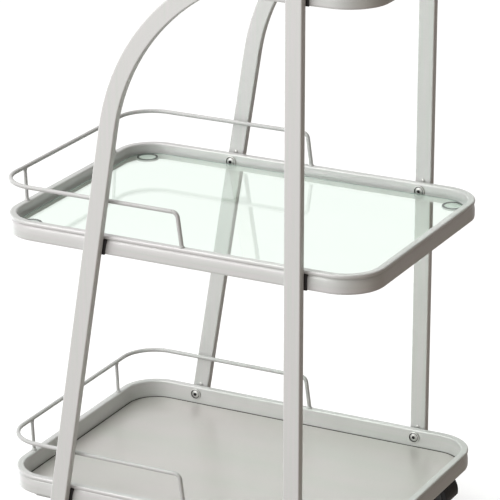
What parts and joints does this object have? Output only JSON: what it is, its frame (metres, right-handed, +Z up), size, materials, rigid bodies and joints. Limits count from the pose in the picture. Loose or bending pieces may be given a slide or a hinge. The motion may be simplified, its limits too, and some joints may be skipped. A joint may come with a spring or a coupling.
{
  "type": "spa trolley cart",
  "caption": "Beauty salon trolley with arched side frames, glass shelves over a metal tray, low guard rails and swivelling twin-wheel castors.",
  "frame": {"origin": "on the floor, under the middle of the long shelves and midway between the two side frames", "axes": "+Z up, +X along the shelves towards the upright legs, -Y the front"},
  "size_m": [0.58, 0.446, 0.9103],
  "materials": {
    "frame_paint": "satin silver powder coat",
    "rim_paint": "satin silver powder coat",
    "rail_paint": "satin silver powder coat",
    "tray_paint": "satin silver metallic",
    "shelf_glass": "clear with a pale green tint",
    "pad_rubber": "soft matt",
    "black_plastic": "moulded",
    "castor_black": "gloss",
    "wheel_black": "smooth",
    "bright_steel": "zinc plated"
  },
  "bodies": {
    "cart": {"front_frame": "frame_paint", "rear_frame": "frame_paint", "leg_end_caps": "black_plastic", "locating_studs": "bright_steel", "frame_inserts": "bright_steel", "top_rim": "rim_paint", "middle_rim": "rim_paint", "bottom_rim": "rim_paint", "bottom_tray": "tray_paint", "top_corner_tabs": "rim_paint", "middle_corner_tabs": "rim_paint", "bottom_corner_tabs": "rim_paint", "top_glass_pads": "pad_rubber", "middle_glass_pads": "pad_rubber", "middle_guard_rail": "rail_paint", "bottom_guard_rail": "rail_paint", "middle_rail_collars": "rail_paint", "bottom_rail_collars": "rail_paint", "top_saddles": "black_plastic", "middle_saddles": "black_plastic", "bottom_saddles": "black_plastic", "top_washers": "bright_steel", "middle_washers": "bright_steel", "bottom_washers": "bright_steel", "top_screws": "bright_steel", "middle_screws": "bright_steel", "bottom_screws": "bright_steel", "left_crossbar": "tray_paint", "right_crossbar": "tray_paint", "castor_plates": "bright_steel", "castor_kingpins": "bright_steel", "castor_thrust_rings": "bright_steel", "castor_bolts": "bright_steel", "castor_nuts": "bright_steel"},
    "front_left_castor": {"front_left_hood": "castor_black", "front_left_axle": "bright_steel"},
    "front_left_outer_wheel_body": {"front_left_outer_wheel": "wheel_black"},
    "front_left_inner_wheel_body": {"front_left_inner_wheel": "wheel_black"},
    "front_left_brake_pedal": {"front_left_brake": "castor_black"},
    "front_right_castor": {"front_right_hood": "castor_black", "front_right_axle": "bright_steel"},
    "front_right_outer_wheel_body": {"front_right_outer_wheel": "wheel_black"},
    "front_right_inner_wheel_body": {"front_right_inner_wheel": "wheel_black"},
    "rear_left_castor": {"rear_left_hood": "castor_black", "rear_left_axle": "bright_steel"},
    "rear_left_outer_wheel_body": {"rear_left_outer_wheel": "wheel_black"},
    "rear_left_inner_wheel_body": {"rear_left_inner_wheel": "wheel_black"},
    "rear_left_brake_pedal": {"rear_left_brake": "castor_black"},
    "rear_right_castor": {"rear_right_hood": "castor_black", "rear_right_axle": "bright_steel"},
    "rear_right_outer_wheel_body": {"rear_right_outer_wheel": "wheel_black"},
    "rear_right_inner_wheel_body": {"rear_right_inner_wheel": "wheel_black"},
    "top_glass_panel": {"top_glass": "shelf_glass"},
    "middle_glass_panel": {"middle_glass": "shelf_glass"}
  },
  "joints": [
    {"name": "front_left_swivel", "type": "hinge", "parent": "cart", "child": "front_left_castor", "pos_m": [-0.222, -0.149, 0.0535], "axis": [0, 0, 1], "continuous": true},
    {"name": "front_left_outer_spin", "type": "hinge", "parent": "front_left_castor", "child": "front_left_outer_wheel_body", "pos_m": [-0.202, -0.1611, 0.025], "axis": [0, 1, 0], "continuous": true},
    {"name": "front_left_inner_spin", "type": "hinge", "parent": "front_left_castor", "child": "front_left_inner_wheel_body", "pos_m": [-0.202, -0.1369, 0.025], "axis": [0, 1, 0], "continuous": true},
    {"name": "front_left_brake_press", "type": "hinge", "parent": "front_left_castor", "child": "front_left_brake_pedal", "pos_m": [-0.18111, -0.149, 0.0499], "axis": [0, 1, 0], "range_deg": [0, 9]},
    {"name": "front_right_swivel", "type": "hinge", "parent": "cart", "child": "front_right_castor", "pos_m": [0.222, -0.149, 0.0535], "axis": [0, 0, 1], "continuous": true},
    {"name": "front_right_outer_spin", "type": "hinge", "parent": "front_right_castor", "child": "front_right_outer_wheel_body", "pos_m": [0.242, -0.1611, 0.025], "axis": [0, 1, 0], "continuous": true},
    {"name": "front_right_inner_spin", "type": "hinge", "parent": "front_right_castor", "child": "front_right_inner_wheel_body", "pos_m": [0.242, -0.1369, 0.025], "axis": [0, 1, 0], "continuous": true},
    {"name": "rear_left_swivel", "type": "hinge", "parent": "cart", "child": "rear_left_castor", "pos_m": [-0.222, 0.149, 0.0535], "axis": [0, 0, 1], "continuous": true},
    {"name": "rear_left_outer_spin", "type": "hinge", "parent": "rear_left_castor", "child": "rear_left_outer_wheel_body", "pos_m": [-0.202, 0.1611, 0.025], "axis": [0, 1, 0], "continuous": true},
    {"name": "rear_left_inner_spin", "type": "hinge", "parent": "rear_left_castor", "child": "rear_left_inner_wheel_body", "pos_m": [-0.202, 0.1369, 0.025], "axis": [0, 1, 0], "continuous": true},
    {"name": "rear_left_brake_press", "type": "hinge", "parent": "rear_left_castor", "child": "rear_left_brake_pedal", "pos_m": [-0.18111, 0.149, 0.0499], "axis": [0, 1, 0], "range_deg": [0, 9]},
    {"name": "rear_right_swivel", "type": "hinge", "parent": "cart", "child": "rear_right_castor", "pos_m": [0.222, 0.149, 0.0535], "axis": [0, 0, 1], "continuous": true},
    {"name": "rear_right_outer_spin", "type": "hinge", "parent": "rear_right_castor", "child": "rear_right_outer_wheel_body", "pos_m": [0.242, 0.1611, 0.025], "axis": [0, 1, 0], "continuous": true},
    {"name": "rear_right_inner_spin", "type": "hinge", "parent": "rear_right_castor", "child": "rear_right_inner_wheel_body", "pos_m": [0.242, 0.1369, 0.025], "axis": [0, 1, 0], "continuous": true},
    {"name": "top_glass_lift", "type": "slide", "parent": "cart", "child": "top_glass_panel", "axis": [0, 0, 1], "range_m": [0, 0.05]},
    {"name": "middle_glass_lift", "type": "slide", "parent": "cart", "child": "middle_glass_panel", "axis": [0, 0, 1], "range_m": [0, 0.05]}
  ]
}
